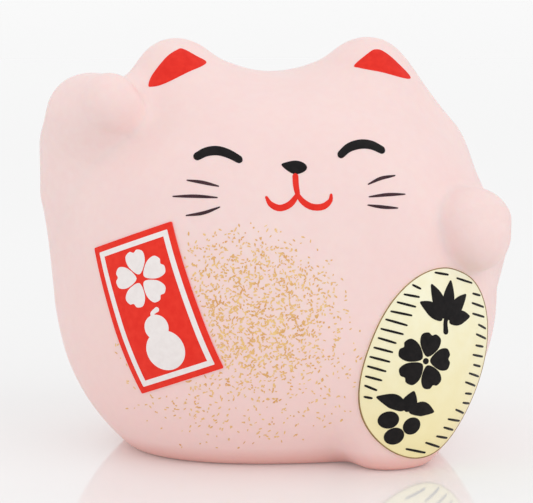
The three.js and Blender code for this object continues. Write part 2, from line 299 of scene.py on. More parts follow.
def superbody(points):
    up = points[..., 2] - MIDDLE_HEIGHT
    reach = np.where(up > 0, TOP_REACH, BOTTOM_REACH)
    squareness = np.where(up > 0, TOP_SQUARENESS, BOTTOM_SQUARENESS)
    across = np.abs(points[..., 0] / HALF_WIDTH) ** PLAN_SQUARENESS
    deep = np.abs(points[..., 1] / HALF_DEPTH) ** PLAN_SQUARENESS
    plan = (across + deep) ** (1 / PLAN_SQUARENESS)
    size = (plan**squareness + np.abs(up / reach) ** squareness) ** (1 / squareness)
    centred = np.sqrt(points[..., 0] ** 2 + points[..., 1] ** 2 + up**2)
    return centred * (1 - 1 / np.maximum(size, 1e-6))


def lobe(points):
    local = (points - np.array(LOBE_CENTRE)) @ patch_axes(LOBE_FACING, LOBE_LEAN)
    across, deep, tall = LOBE_RADII
    size = np.linalg.norm(local / np.array([across, tall, deep]), axis=-1)
    return np.linalg.norm(local, axis=-1) * (1 - 1 / np.maximum(size, 1e-6))


def trunk(points):
    """Head, ears and body, with the lobe that carries the oval token, and no arms."""
    distance = superbody(points)
    for side in (-1, 1):
        mirror = np.array([side, 1, 1, 1])
        tip = EAR_TIP * mirror + EAR_DRIFT
        for root, blend in zip(EAR_ROOTS, EAR_BLENDS):
            distance = smooth_min(distance, round_cone(points, root * mirror, tip), blend)
    return smooth_min(distance, lobe(points), LOBE_BLEND)


def form(points):
    """The whole cat, before its foot is cut flat."""
    distance = trunk(points)
    for name, chain in LIMBS.items():
        distance = smooth_min(distance, limb(points, chain), ROOT_BLEND[name])
    return distance


def skin(points):
    return smooth_max(form(points), -points[..., 2], FOOT_ROUNDING)


def slope(field, points, step=2e-5):
    columns = []
    for axis in np.eye(3) * step:
        columns.append((field(points + axis) - field(points - axis)) / (2 * step))
    return np.stack(columns, axis=1)


def unit(vectors):
    return vectors / np.maximum(np.linalg.norm(vectors, axis=1, keepdims=True), 1e-12)


def outward(points, field=skin):
    return unit(slope(field, points))


def onto_skin(points, direction, start=0.02, steps=70):
    """Slides points in along minus direction, from a little outside, until they reach the skin."""
    travelled = points + direction * start
    for _ in range(steps):
        travelled = travelled - direction * (0.7 * skin(travelled))[:, None]
    return travelled


# ---- meshing ----


def cells_with_surface(inside):
    """True where the eight corners of a grid cell aren't all on one side."""
    count = np.zeros([n - 1 for n in inside.shape], int)
    for i in (0, 1):
        for j in (0, 1):
            for k in (0, 1):
                nx, ny, nz = count.shape
                count += inside[i : nx + i, j : ny + j, k : nz + k]
    return (count > 0) & (count < 8)


def surface_net(field, low, high, pitch):
    """Vertices on the zero of the field, and the quads between them, facing out."""
    axes = [np.arange(a, b + pitch, pitch) for a, b in zip(low, high)]
    grid = np.stack(np.meshgrid(*axes, indexing="ij"), axis=-1)
    inside = np.stack([field(layer) for layer in grid]) < 0
    active = cells_with_surface(inside)
    index = -np.ones(active.shape, int)
    index[active] = np.arange(active.sum())
    cells = np.argwhere(active)
    vertices = np.stack([axes[k][cells[:, k]] for k in range(3)], axis=1) + pitch / 2
    quads = []
    for axis, (u, v) in enumerate(((1, 2), (2, 0), (0, 1))):
        here = [slice(None)] * 3
        there = [slice(None)] * 3
        here[axis], there[axis] = slice(0, -1), slice(1, None)
        edges = np.argwhere(inside[tuple(here)] != inside[tuple(there)])
        leaving = inside[tuple(here)][tuple(edges.T)]

        def neighbour(back_u, back_v):
            cell = edges.copy()
            cell[:, u] -= back_u
            cell[:, v] -= back_v
            return index[tuple(cell.T)]

        ring = np.stack([neighbour(1, 1), neighbour(0, 1), neighbour(0, 0), neighbour(1, 0)], axis=1)
        ring[~leaving] = ring[~leaving][:, ::-1]
        quads.append(ring)
    for _ in range(4):
        gradient = slope(field, vertices)
        move = field(vertices)[:, None] * gradient / np.maximum((gradient**2).sum(1, keepdims=True), 1e-6)
        length = np.linalg.norm(move, axis=1, keepdims=True)
        vertices = vertices - move * np.minimum(1, 0.6 * pitch / np.maximum(length, 1e-9))
    return vertices, np.concatenate(quads)


def settle(vertices, side, reach):
    """Moves the vertices that lie within reach of where side is zero onto that line."""
    value = side(vertices)
    gradient = slope(side, vertices)
    steepness = np.maximum(np.linalg.norm(gradient, axis=1), 1e-6)
    near = np.abs(value) < reach * steepness
    moved = vertices.copy()
    moved[near] -= (value[near] / steepness[near] ** 2)[:, None] * gradient[near]
    value = side(moved)
    value[near] = 0
    return moved, value


def score(vertices, triangles, side):
    """Adds vertices where side is zero, so that no triangle straddles that line."""
    vertices, value = settle(vertices, side, 0.12 * GRID)
    sign = np.sign(value)[triangles]
    crossed = sign * np.roll(sign, -1, axis=1) < 0  # edge k runs from corner k to the next one
    edges = np.stack([triangles, np.roll(triangles, -1, axis=1)], axis=2)[crossed]
    unique, inverse = np.unique(np.sort(edges, axis=1), axis=0, return_inverse=True)
    start, end = unique.T
    share = (value[start] / (value[start] - value[end]))[:, None]
    fresh = vertices[start] * (1 - share) + vertices[end] * share
    middle = np.zeros_like(triangles)
    middle[crossed] = inverse.ravel() + len(vertices)

    once = crossed.sum(1) == 1
    rows = np.arange(once.sum())
    turn = (crossed[once].argmax(1)[:, None] + np.arange(3)) % 3
    a, b, c = triangles[once][rows[:, None], turn].T
    m = middle[once][rows, turn[:, 0]]
    halves = [np.stack([a, m, c], 1), np.stack([m, b, c], 1)]

    twice = crossed.sum(1) == 2
    rows = np.arange(twice.sum())
    turn = ((~crossed[twice]).argmax(1)[:, None] + np.arange(3)) % 3
    a, b, c = triangles[twice][rows[:, None], turn].T
    m = middle[twice][rows, turn[:, 1]]
    n = middle[twice][rows, turn[:, 2]]
    thirds = [np.stack([m, c, n], 1), np.stack([a, b, m], 1), np.stack([a, m, n], 1)]
    uncut = triangles[~(once | twice)]
    return np.concatenate([vertices, fresh]), np.concatenate([uncut, *halves, *thirds])


def new_object(name, vertices, faces, normals=None):
    """A mesh object, given in metres from the body's axis. normals are one per face corner."""
    mesh = bpy.data.meshes.new(name)
    mesh.from_pydata((vertices + AXIS).tolist(), [], faces)
    mesh.update()
    mesh.shade_smooth()
    if normals is None:
        mesh.set_sharp_from_angle(angle=math.radians(40))
    else:
        mesh.normals_split_custom_set(normals.tolist())
    piece = bpy.data.objects.new(name, mesh)
    bpy.context.scene.collection.objects.link(piece)
    return piece


def boundary_edges(triangles):
    """Directed edges that only one triangle uses."""
    edges = np.concatenate([triangles[:, [0, 1]], triangles[:, [1, 2]], triangles[:, [2, 0]]])
    _, first, count = np.unique(np.sort(edges, axis=1), axis=0, return_index=True, return_counts=True)
    return edges[first[count == 1]]


def thick_faces(triangles, count):
    """The faces of a closed sheet: its outside, its inside count vertices later, and the rim between."""
    rim = boundary_edges(triangles)
    quads = np.stack([rim[:, 1], rim[:, 0], rim[:, 0] + count, rim[:, 1] + count], axis=1)
    return triangles, triangles[:, ::-1] + count, quads


def thick_piece(name, outer_points, inner_points, triangles, normals):
    """A closed piece of the ceramic, with the skin's own normals, so that no joint shows in the shading."""
    used, local = np.unique(triangles, return_inverse=True)
    points = np.concatenate([outer_points[used], inner_points[used]])
    outer, inner, rim = thick_faces(local.reshape(-1, 3), len(used))
    a, b, c = (points[rim[:, k]] for k in range(3))
    rim_normals = unit(np.cross(b - a, c - b))
    outer_normals = normals[used]
    corner_normals = np.concatenate([
        outer_normals[outer.ravel()],
        -outer_normals[inner.ravel() - len(used)],
        np.repeat(rim_normals, 4, axis=0),
    ])
    return new_object(name, points, outer.tolist() + inner.tolist() + rim.tolist(), corner_normals)


def finish_piece(piece, material, slot, *nodes, body="cat"):
    piece.data.materials.append(material)
    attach(piece, body)
    if nodes:
        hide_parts(*nodes)
    return piece


# ---- the ceramic body ----


def coin_slot(points):
    """Distance outside the slot's rounded outline, as seen from behind."""
    corner = SLOT_HEIGHT / 2
    across = np.maximum(np.abs(points[:, 0]) - SLOT_WIDTH / 2 + corner, 0)
    distance = np.hypot(across, points[:, 2] - SLOT_CENTRE_Z) - corner
    return np.where(points[:, 1] > 0, distance, 1.0)


def base_hole(points):
    distance = np.hypot(points[:, 0], points[:, 1]) - BASE_HOLE
    return np.where(points[:, 2] < FOOT_WALL / 2, distance, 1.0)


def soften_lip(points, normals, opening):
    """Rolls the skin in around an opening, as a glazed edge does."""
    distance = opening(points)
    near = (distance < LIP_ROUNDING) & (distance > -1e-6)
    here = points[near]
    towards = unit(-slope(opening, here))
    sine = np.clip((LIP_ROUNDING - distance[near]) / LIP_ROUNDING, 0, 1)[:, None]
    cosine = np.sqrt(1 - sine**2)
    sunk = points.copy()
    sunk[near] = here - normals[near] * LIP_ROUNDING * (1 - cosine)
    rolled = normals.copy()
    rolled[near] = unit(normals[near] * cosine + towards * sine)
    return sunk, rolled


def inner_skin(points, is_limb):
    """The hollow side of the ceramic: a wall's thickness in, and level over the foot."""
    along = outward(points, form)
    radius = np.hypot(points[:, 0], points[:, 1])
    over_foot = (points[:, 2] < FOOT_ROUNDING) & (radius < BASE_HOLE + FOOT_WALL)
    share = np.where(over_foot, np.clip((radius - BASE_HOLE) / FOOT_WALL, 0, 1), 1)[:, None]
    inward = unit(-along * share + np.array([0, 0, 1]) * (1 - share))
    wall = np.where(is_limb, ARM_WALL, CERAMIC_WALL)[:, None]
    inner = points + inward * wall
    inner[:, 2] = np.where(is_limb, inner[:, 2], np.maximum(inner[:, 2], FOOT_WALL))
    return inner


def limb_side(chain):
    """Below zero where the skin belongs to a limb rather than to the trunk."""
    return lambda points: limb(points, chain) - trunk(points)


def lip_line(opening, share):
    """Zero along a line around an opening, part of the way out over its lip."""
    return lambda points: opening(points) - share * LIP_ROUNDING


def make_body(material):
    across, deep = HALF_WIDTH + MESH_MARGINS[0], HALF_DEPTH + MESH_MARGINS[1]
    bottom, top = MESH_HEIGHTS
    low, high = np.array([-across, -deep, bottom]), np.array([across, deep, top])
    vertices, quads = surface_net(skin, low, high, GRID)
    triangles = np.concatenate([quads[:, [0, 1, 2]], quads[:, [0, 2, 3]]])

    lines = [lambda points: points[:, 1].copy()]
    lines += [limb_side(chain) for chain in LIMBS.values()]
    for opening in (coin_slot, base_hole):
        lines += [lip_line(opening, share) for share in LIP_LINES]
    for line in lines:
        vertices, triangles = score(vertices, triangles, line)

    middles = vertices[triangles].mean(axis=1)
    kept = (coin_slot(middles) > 0) & (base_hole(middles) > 0)
    triangles, middles = triangles[kept], middles[kept]
    owner = np.where(middles[:, 1] < 0, "front_shell", "back_shell").astype(object)
    for name, chain in LIMBS.items():
        owner[limb_side(chain)(middles) < 0] = name

    normals = outward(vertices)
    outer = vertices
    for opening in (coin_slot, base_hole):
        outer, normals = soften_lip(outer, normals, opening)
    for name in ("front_shell", "back_shell", *LIMBS):
        inner = inner_skin(vertices, np.full(len(vertices), name in LIMBS))
        piece = thick_piece("cat_" + name, outer, inner, triangles[owner == name], normals)
        finish_piece(piece, material, "pink_ceramic", name)


# ---- turned pieces ----


def rounded(corners, radius, steps=5):
    """A (radius, height) outline with every corner that is off the axis rounded."""
    corners = np.array(corners)
    outline = []
    for before, corner, after in zip(np.roll(corners, 1, 0), corners, np.roll(corners, -1, 0)):
        if corner[0] == 0:
            outline.append(corner)
            continue
        back, on = before - corner, after - corner
        start = corner + back * min(0.45, radius / np.linalg.norm(back))
        end = corner + on * min(0.45, radius / np.linalg.norm(on))
        for t in np.linspace(0, 1, steps):
            outline.append(start * (1 - t) ** 2 + corner * 2 * t * (1 - t) + end * t**2)
    return np.array(outline)


def turned_piece(name, outline, segments=96):
    """Turns an outline that runs anticlockwise, seen with the axis on its left."""
    solid = outline[0][0] == 0
    rings = outline[1:-1] if solid else outline
    angle = np.linspace(0, 2 * math.pi, segments, endpoint=False)
    spokes = np.stack([np.cos(angle), np.sin(angle)], axis=1)
    flat = rings[:, None, :1] * spokes
    height = np.broadcast_to(rings[:, None, 1:], (len(rings), segments, 1))
    vertices = np.concatenate([flat, height], axis=2).reshape(-1, 3)
    index = np.arange(len(vertices)).reshape(len(rings), segments)
    rows = index if solid else np.concatenate([index, index[:1]])
    rows = np.concatenate([rows, rows[:, :1]], axis=1)
    corners = [rows[:-1, :-1], rows[:-1, 1:], rows[1:, 1:], rows[1:, :-1]]
    faces = np.stack(corners, axis=-1).reshape(-1, 4).tolist()
    if solid:
        for pole, ring, step in ((outline[0], rows[0], -1), (outline[-1], rows[-1], 1)):
            ends = zip(ring[:-1], ring[1:]) if step > 0 else zip(ring[1:], ring[:-1])
            faces += [[int(a), int(b), len(vertices)] for a, b in ends]
            vertices = np.concatenate([vertices, [[0, 0, pole[1]]]])
    return new_object(name, vertices, faces)


def make_base(bare_ceramic, rubber):
    hole = STOPPER_RADIUS - STOPPER_FLANGE
    low, high = BASE_LOW[2], BASE_HIGH[2]
    slab_radius = BASE_HOLE - JOINT_GAP
    corners = [(hole, low), (slab_radius, low), (slab_radius, high), (hole, high)]
    slab = turned_piece("base_slab", rounded(corners, SLAB_ROUNDING))
    finish_piece(slab, bare_ceramic, "bare_ceramic", "base_disc")

    bottom, top = STOPPER_LOW[2], STOPPER_HIGH[2]
    flange_top = low - JOINT_GAP
    plug = hole - STOPPER_PLAY
    cup = plug - STOPPER_WALL
    dish = STOPPER_RADIUS * DISH_SHARE
    groove_start, groove_bottom, groove_end = (flange_top + height for height in GROOVE_HEIGHTS)
    corners = [
        (0, bottom + STOPPER_DISH),
        (dish - STOPPER_DISH, bottom + STOPPER_DISH),
        (dish, bottom),
        (STOPPER_RADIUS, bottom),
        (STOPPER_RADIUS, flange_top),
        (plug, flange_top),
        (plug, groove_start),
        (plug - GROOVE_DEPTH, groove_bottom),
        (plug, groove_end),
        (plug, top - PLUG_LEAD),
        (plug - PLUG_LEAD, top),
        (cup, top),
        (cup, flange_top + STOPPER_DISH),
        (0, flange_top + STOPPER_DISH),
    ]
    bung = turned_piece("stopper_bung", rounded(corners, STOPPER_ROUNDING))
    finish_piece(bung, rubber, "bung", "stopper", body="stopper")


# ---- flat shapes: points in a patch, how near each is to its outline (0 to 1), and triangles ----


def spline(points, count, closed=False):
    """Points on a smooth curve through the given ones."""
    points = np.array(points, float).reshape(len(points), -1)
    if closed:
        padded = np.concatenate([points[-1:], points, points[:2]])
    else:
        padded = np.concatenate([2 * points[:1] - points[1:2], points, 2 * points[-1:] - points[-2:-1]])
    spans = len(padded) - 3
    place = np.linspace(0, spans, count, endpoint=not closed)
    span = np.minimum(place.astype(int), spans - 1)
    t = (place - span)[:, None]
    a, b, c, d = (padded[span + k] for k in range(4))
    return b + (c - a) * t / 2 + (a - 2.5 * b + 2 * c - d / 2) * t**2 + (3 * b - a - 3 * c + d) * t**3 / 2


def grid_triangles(index):
    a, b, c, d = index[:-1, :-1], index[1:, :-1], index[1:, 1:], index[:-1, 1:]
    quads = np.stack([a, b, c, d], axis=-1).reshape(-1, 4)
    return np.concatenate([quads[:, [0, 1, 2]], quads[:, [0, 2, 3]]])


def stroke(points, widths, steps=22, columns=5):
    """A brush stroke with round ends. widths are half widths, evenly spaced along it."""
    start, end = widths[0], widths[-1]
    spine = spline(points, 60)
    ahead, behind = unit(spine[-1:] - spine[-2:-1]), unit(spine[:1] - spine[1:2])
    spine = np.concatenate([spine[:1] + behind * start, spine, spine[-1:] + ahead * end])
    travelled = np.append(0, np.cumsum(np.linalg.norm(np.diff(spine, axis=0), axis=1)))
    total = travelled[-1]
    place = total * (1 - np.cos(np.pi * np.linspace(0, 1, steps))) / 2
    middle = np.stack([np.interp(place, travelled, spine[:, k]) for k in (0, 1)], axis=1)
    tangent = unit(np.gradient(middle, axis=0))
    side = np.stack([-tangent[:, 1], tangent[:, 0]], axis=1)
    full = np.interp(place / total, np.linspace(0, 1, 40), spline(widths, 40)[:, 0])
    tip = np.minimum(place / start, (total - place) / end)
    half = full * np.sqrt(1 - np.clip(1 - tip, 0, 0.98) ** 2)
    across = np.linspace(-1, 1, columns)
    flat = middle[:, None] + side[:, None] * half[:, None, None] * across[None, :, None]
    share = np.broadcast_to(np.abs(across), (steps, columns))
    index = np.arange(steps * columns).reshape(steps, columns)
    return flat.reshape(-1, 2), share.ravel(), grid_triangles(index)


def brush(points, half_width, end_width, steps=26):
    swell = np.sin(np.pi * np.linspace(0, 1, 9))
    return stroke(points, end_width + (half_width - end_width) * swell, steps)


def anticlockwise(outline):
    x, y = outline.T
    area = np.sum(x * np.roll(y, -1) - y * np.roll(x, -1))
    return outline if area > 0 else outline[::-1]


def fan(outline, rings=4):
    """Fills an outline that can be seen whole from its middle."""
    outline = anticlockwise(outline)
    middle = outline.mean(axis=0)
    share = np.linspace(0, 1, rings + 1)[1:]
    flat = middle + (outline - middle)[None] * share[:, None, None]
    count = len(outline)
    index = 1 + np.arange(rings * count).reshape(rings, count)
    index = np.concatenate([index, index[:, :1]], axis=1)
    core = np.stack([np.zeros(count, int), index[0, :-1], index[0, 1:]], axis=1)
    points = np.concatenate([[middle], flat.reshape(-1, 2)])
    return points, np.append(0, np.repeat(share, count)), np.concatenate([core, grid_triangles(index)])


def band(outline, width, rows=5):
    """A closed strip that lies inside an outline."""
    outline = anticlockwise(outline)
    along = unit(np.roll(outline, -1, axis=0) - np.roll(outline, 1, axis=0))
    inward = np.stack([-along[:, 1], along[:, 0]], axis=1)
    share = np.linspace(0, 1, rows)
    flat = outline[None] + inward[None] * width * (1 - share[:, None, None])
    index = np.arange(rows * len(outline)).reshape(rows, -1)
    index = np.concatenate([index, index[:, :1]], axis=1)
    return flat.reshape(-1, 2), np.repeat(np.abs(2 * share - 1), len(outline)), grid_triangles(index)


def merged(shapes):
    points, share, triangles = zip(*shapes)
    starts = np.cumsum([0] + [len(p) for p in points[:-1]])
    shifted = [t + start for t, start in zip(triangles, starts)]
    return np.concatenate(points), np.concatenate(share), np.concatenate(shifted)


def placed(shape, at, angle=0):
    points, share, triangles = shape
    turn = np.array([[math.cos(angle), math.sin(angle)], [-math.sin(angle), math.cos(angle)]])
    return points @ turn + np.array(at), share, triangles


def lay(name, shapes, material, slot, *nodes, patch=FACE_PATCH, height=PAINT_HEIGHT, lift=0, dome=0.6):
    """Lays shapes on the skin as one thin closed piece, whose middle stands height above lift."""
    flat, share, triangles = merged(shapes)
    axes = patch_axes(patch["facing"], patch["lean"])
    foot = onto_skin(np.array(patch["at"]) + flat @ axes[:, :2].T, axes[:, 2])
    normal = outward(foot)
    top = foot + normal * (lift + height * (1 - dome * share**2))[:, None]
    under = foot + normal * (lift - SINK)
    outer, inner, rim = thick_faces(triangles, len(flat))
    piece = new_object(name, np.concatenate([top, under]), outer.tolist() + inner.tolist() + rim.tolist())
    return finish_piece(piece, material, slot, *nodes)


# ---- paint ----


def mm(points):
    return np.array(points) * 0.001


def make_face(black, red, brown):
    for name, points in EYES.items():
        lay(name + "_paint", [brush(mm(points), *EYE_BRUSH)], black, "black_paint", name)
    lay("nose_paint", [fan(spline(mm(NOSE), 36, closed=True))], black, "black_paint", "nose")
    lips = [stroke(mm(points), mm(MOUTH_WIDTHS)) for points in MOUTH]
    lips.append(stroke(mm(LIP), mm(LIP_WIDTHS)))
    lay("mouth_paint", lips, red, "red_paint", "mouth")
    for name, points in WHISKERS.items():
        lay(name + "_paint", [brush(mm(points), *WHISKER_BRUSH)], brown, "brown_paint", name)
    for name, points in EAR_PAINT.items():
        outline = spline(mm(points), 72, closed=True)
        lay(name + "_coat", [fan(outline, rings=10)], red, "red_paint", name)


# ---- stickers ----


def oval(length, width, power, count=120):
    angle = np.linspace(0, 2 * math.pi, count, endpoint=False)
    cosine, sine = np.cos(angle), np.sin(angle)
    x = np.sign(cosine) * np.abs(cosine) ** (2 / power) * width / 2
    y = np.sign(sine) * np.abs(sine) ** (2 / power) * length / 2
    return np.stack([x, y], axis=1)


def rectangle(length, width, corner, per_side=24):
    """An outline with rounded corners and evenly spaced points."""
    angle = np.linspace(0, math.pi / 2, 5)
    ring = []
    for k, (sx, sy) in enumerate(((1, 1), (-1, 1), (-1, -1), (1, -1))):
        turn = angle + k * math.pi / 2
        centre = np.array([sx * (width / 2 - corner), sy * (length / 2 - corner)])
        ring.append(centre + corner * np.stack([np.cos(turn), np.sin(turn)], axis=1))
    ring = np.concatenate(ring)
    closed = np.concatenate([ring, ring[:1]])
    travelled = np.append(0, np.cumsum(np.linalg.norm(np.diff(closed, axis=0), axis=1)))
    place = np.union1d(np.linspace(0, travelled[-1], 4 * per_side, endpoint=False), travelled[:-1])
    return np.stack([np.interp(place, travelled, closed[:, k]) for k in (0, 1)], axis=1)


def petal(reach, half):
    """A notched petal that points to the right, from near the blossom's middle."""
    outline = [
        (0.16, 0), (0.5, 0.8), (0.86, 0.9), (1, 0.38),
        (0.93, 0), (1, -0.38), (0.86, -0.9), (0.5, -0.8),
    ]
    return fan(spline(np.array(outline) * (reach, half), 40, closed=True))


def blossom(radius, half):
    shape = petal(radius, half)
    return [placed(shape, (0, 0), math.pi / 2 + k * 2 * math.pi / 5) for k in range(5)]


def ink_on(patch):
    return {"patch": patch, "height": INK_HEIGHT, "lift": STICKER_HEIGHT, "dome": INK_DOME}


def make_plaque(sheet, print_white):
    outline = rectangle(PLAQUE_LENGTH, PLAQUE_WIDTH, PLAQUE_CORNER)
    lay("plaque_sheet", [fan(outline, rings=24)], sheet, "sticker_red", "fortune_plaque",
        patch=PLAQUE_PATCH, height=STICKER_HEIGHT, dome=0)
    inset = 2 * PLAQUE_BORDER
    frame_line = rectangle(PLAQUE_LENGTH - inset, PLAQUE_WIDTH - inset, PLAQUE_LINE_CORNER)
    ink = ink_on(PLAQUE_PATCH)
    lay("plaque_frame", [band(frame_line, PLAQUE_LINE)], print_white, "sticker_red", **ink)
    flower = [placed(shape, (0, PLAQUE_BLOSSOM_HEIGHT)) for shape in blossom(*PLAQUE_PETAL)]
    lay("plaque_blossom", flower, print_white, "sticker_red", **ink)
    lay("plaque_gourd", gourd_mark(), print_white, "sticker_red", **ink)


def koban_half_width(v):
    return KOBAN_WIDTH / 2 * math.sqrt(max(0, 1 - (2 * v / KOBAN_LENGTH) ** 2))


def hatching():
    """Short dashes down both sides of the token, with a few above and below its middle column."""
    dashes = []
    rows = np.linspace(-HATCH_REACH, HATCH_REACH, HATCH_ROWS) * KOBAN_LENGTH
    for v in rows:
        edge = koban_half_width(v) - HATCH_MARGIN
        column = np.interp(v, (-MARK_PITCH, 0, MARK_PITCH), KOBAN_COLUMN)
        beside_marks = abs(v) < MARKS_REACH
        kept_clear = MARK_HALF_WIDTH + HATCH_CLEARANCE if beside_marks else HATCH_MEETING
        for side in (-1, 1):
            room = edge - side * column - kept_clear
            length = min(RNG.uniform(*HATCH_LENGTHS), room)
            if length < HATCH_LEAST:
                continue
            outer = side * (edge - RNG.uniform(0, 1) * min(HATCH_STAGGER, room - length))
            inner = outer - side * length
            tilt = RNG.uniform(-HATCH_TILT, HATCH_TILT)
            ends = [(outer, v - tilt), ((outer + inner) / 2, v), (inner, v + tilt)]
            dashes.append(brush(ends, *HATCH_BRUSH, steps=10))
    return dashes


def sprig_mark():
    """Five leaves that spread from one stem."""
    fork = np.array([0, -4.2])
    leaves = [stroke(mm([(0.5, -6), fork, (0, -3)]), mm([0.8, 0.6, 0.6]))]
    for lean, reach in ((-66, 8), (-33, 9.6), (0, 10.2), (33, 9.6), (66, 8)):
        along = np.array([math.sin(math.radians(lean)), math.cos(math.radians(lean))])
        leaf = [fork + along * 1.6, fork + along * reach * 0.6 + (0, 0.5), fork + along * reach]
        leaves.append(stroke(mm(leaf), mm([0.4, 1.45, 1.7, 1.2, 0.2])))
    return leaves


def blossom_mark():
    return blossom(*KOBAN_PETAL) + [fan(oval(BLOSSOM_HEART, BLOSSOM_HEART, 2, 20))]


def berry_mark():
    """Three berries under three leaves."""
    berry = fan(mm(oval(4.3, 4.3, 2, 40)), rings=6)
    shapes = [placed(berry, mm(at)) for at in ((-2.8, -1.6), (2.8, -1.6), (0, -5))]
    for x, y in ((-7, 3), (0, 6.4), (7, 3)):
        leaf = [(x * 0.14, 1.7), (x * 0.5, 1.3 + y * 0.55), (x, y)]
        shapes.append(stroke(mm(leaf), mm([0.4, 1.5, 1.8, 1.2, 0.2])))
    return shapes


def gourd_mark():
    """A large bulb, a small one above it, and a bent stem."""
    bulbs = []
    for size, height in ((9.8, -10.2), (6.2, -4.4)):
        bulbs.append(placed(fan(mm(oval(size, size, 2, 48)), rings=8), mm((0, height))))
    return bulbs + [stroke(mm([(0.2, -1.8), (0.2, -0.9), (1.5, -0.4)]), mm([0.6, 0.5, 0.7]))]


def make_koban(foil, edge, ink_black):
    outline = oval(KOBAN_LENGTH, KOBAN_WIDTH, KOBAN_POWER, 180)
    lay("koban_sheet", [fan(outline, rings=36)], foil, "gold_foil", "koban_foil",
        patch=KOBAN_PATCH, height=STICKER_HEIGHT, dome=0)
    ink = ink_on(KOBAN_PATCH)
    lay("koban_rim", [band(outline, KOBAN_RIM)], edge, "gold_foil", **ink)
    lay("koban_hatching", hatching(), ink_black, "black_paint", **ink)
    marks = {"sprig": sprig_mark(), "blossom": blossom_mark(), "berries": berry_mark()}
    heights = (MARK_PITCH, 0, -MARK_PITCH)
    for (name, shapes), column, height in zip(marks.items(), reversed(KOBAN_COLUMN), heights):
        placed_shapes = [placed(shape, (column, height)) for shape in shapes]
        lay("koban_" + name, placed_shapes, ink_black, "black_paint", **ink)


# ---- laying the gold dust ----


def in_patch(points, patch):
    """Where points seen from the front fall in a patch, roughly, as (right, up)."""
    flat = np.stack([points[:, 0], np.full(len(points), patch["at"][1]), points[:, 1]], axis=1)
    on_body = onto_skin(flat, patch_axes(0, 0)[:, 2])
    axes = patch_axes(patch["facing"], patch["lean"])
    return (on_body - np.array(patch["at"])) @ axes[:, :2]


def under_a_sticker(points):
    right, up = np.abs(in_patch(points, PLAQUE_PATCH)).T
    beside, above = PLAQUE_WIDTH / 2 + STICKER_CLEARANCE, PLAQUE_LENGTH / 2 + STICKER_CLEARANCE
    plaque = (right < beside) & (up < above)
    right, up = in_patch(points, KOBAN_PATCH).T
    koban = np.hypot(right / KOBAN_WIDTH, up / KOBAN_LENGTH) < KOBAN_KEEP_CLEAR
    return plaque | koban


def cloud_density(points, centre, radii, edge, strength):
    """Full strength in the middle of an oval cloud, and none at its rim. edge is how steeply it falls."""
    from_centre = np.hypot((points[:, 0] - centre[0]) / radii[0], (points[:, 1] - centre[1]) / radii[1])
    return strength * np.clip(edge * (1 - from_centre), 0, 1)


def dust_places():
    """Places that gather along the level lines of a rippled field, so that the dust lies in broken lines."""
    across, up = RNG.uniform(*DUST_ACROSS, DUST_TRIES), RNG.uniform(*DUST_UP, DUST_TRIES)
    points = np.stack([across, up], axis=1)
    directions = RNG.uniform(0, 2 * math.pi, DUST_WAVES)
    waves = 2 * math.pi / RNG.uniform(*DUST_WAVELENGTHS, DUST_WAVES)
    vectors = np.stack([np.cos(directions), np.sin(directions)], axis=1) * waves[:, None]
    phases = points @ vectors.T + RNG.uniform(0, 2 * math.pi, DUST_WAVES)
    level = np.cos(phases).sum(axis=1) / math.sqrt(DUST_WAVES / 2)
    rise = -np.sin(phases) @ vectors
    density = cloud_density(points, **DUST_HEART) + cloud_density(points, **DUST_HALO)
    on_line = np.abs(level) < DUST_LINE
    chance = density * np.where(on_line, DUST_CHANCE["on_line"], DUST_CHANCE["off_line"])
    kept = RNG.uniform(0, 1, DUST_TRIES) < chance
    kept &= ~under_a_sticker(points)
    return points[kept], np.arctan2(rise[kept, 1], rise[kept, 0]) + math.pi / 2


def fleck(half_length, half_width, corners=7):
    angle = np.linspace(0, 2 * math.pi, corners, endpoint=False)
    ragged = RNG.uniform(0.7, 1.15, corners)
    outline = np.stack([np.cos(angle) * half_length, np.sin(angle) * half_width], axis=1) * ragged[:, None]
    return fan(outline, rings=1)


def make_dust(gold):
    flecks = []
    for place, angle in zip(*dust_places()):
        half_length = RNG.uniform(*FLECK_HALF_LENGTH)
        shape = fleck(half_length, RNG.uniform(*FLECK_HALF_WIDTH))
        flecks.append(placed(shape, place, angle + RNG.normal(0, FLECK_TURN)))
    lay("gold_dust", flecks, gold, "gold_foil", height=DUST_HEIGHT, dome=0.5)


# ---- materials ----


def colour(red, green, blue):
    """An sRGB colour of 0 to 255 as the linear colour that a shader takes."""
    linear = []
    for level in (red, green, blue):
        share = level / 255
        linear.append(((share + 0.055) / 1.055) ** 2.4 if level > 10 else share / 12.92)
    return (*linear, 1.0)


